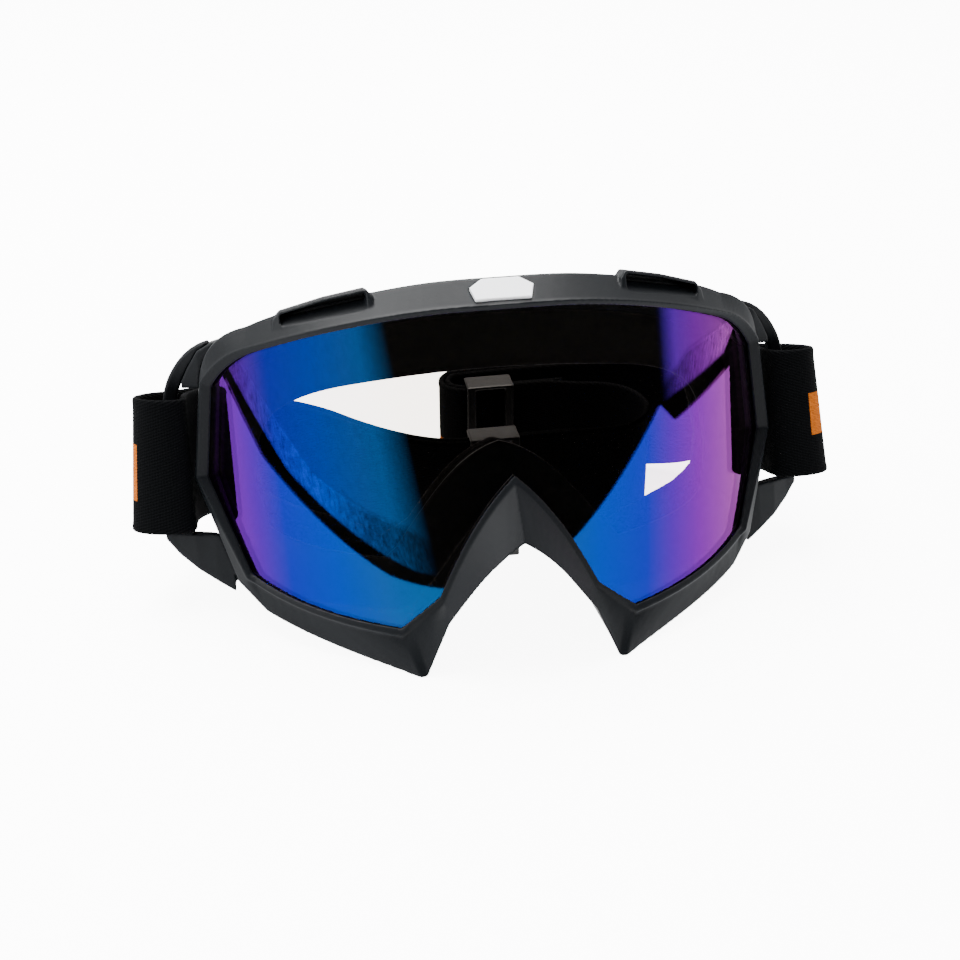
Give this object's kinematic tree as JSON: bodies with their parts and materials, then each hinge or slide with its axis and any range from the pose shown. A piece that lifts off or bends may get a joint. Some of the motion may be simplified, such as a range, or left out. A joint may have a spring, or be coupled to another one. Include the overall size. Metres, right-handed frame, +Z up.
{
  "type": "motorcycle goggles",
  "caption": "Single-lens motorcycle goggles with a wraparound mirrored lens, layered face foam, strap outriggers and a folded elastic strap with sliders.",
  "frame": {"origin": "bottom centre of the whole goggles' box, on the table between the frame and its folded strap", "axes": "+Z up, +Y from the lens towards the wearer's face and strap, +X towards the right of a viewer in front of the lens"},
  "size_m": [0.2264, 0.1174, 0.107],
  "materials": {
    "frame_tpu": "satin moulded polyurethane, dark grey to black",
    "lens_mirror": "blue and violet mirror coating on a see-through polycarbonate sheet",
    "badge_plate": "blank white plaque",
    "foam_black": "open-cell polyurethane foam",
    "fleece_black": "brushed fleece facing",
    "strap_webbing": null,
    "slider_plastic": "moulded acetal, slight gloss"
  },
  "bodies": {
    "frame": {"bezel": "frame_tpu", "rear_frame": "frame_tpu", "outrigger_right": "frame_tpu", "outrigger_left": "frame_tpu", "lens": "lens_mirror", "badge": "badge_plate", "vent_foam_top_right": "foam_black", "vent_foam_top_left": "foam_black", "vent_foam_low_right": "foam_black", "vent_foam_low_left": "foam_black", "face_foam_base": "foam_black", "face_foam_core": "foam_black", "face_fleece": "fleece_black", "strap_side_right": "strap_webbing", "strap_side_left": "strap_webbing", "strap_back": "strap_webbing"},
    "loop_right": {"strap_loop_right": "strap_webbing"},
    "loop_left": {"strap_loop_left": "strap_webbing"},
    "adjuster_right": {"slider_right": "slider_plastic", "sewn_end_right": "strap_webbing"},
    "adjuster_left": {"slider_left": "slider_plastic", "sewn_end_left": "strap_webbing"}
  },
  "joints": [
    {"name": "strap_loop_right_swing", "type": "hinge", "parent": "frame", "child": "loop_right", "pos_m": [0.09885, 0.01402, 0.04602], "axis": [-0.0166, 0.2596, 0.9656], "range_deg": [-3, 3]},
    {"name": "strap_loop_left_swing", "type": "hinge", "parent": "frame", "child": "loop_left", "pos_m": [-0.09885, 0.01402, 0.04602], "axis": [0.0166, 0.2596, 0.9656], "range_deg": [-3, 3]},
    {"name": "slider_right_slide", "type": "slide", "parent": "frame", "child": "adjuster_right", "axis": [1, 0, 0], "range_m": [0, 0.008]},
    {"name": "slider_left_slide", "type": "slide", "parent": "frame", "child": "adjuster_left", "axis": [1, 0, 0], "range_m": [0, 0.006]}
  ]
}
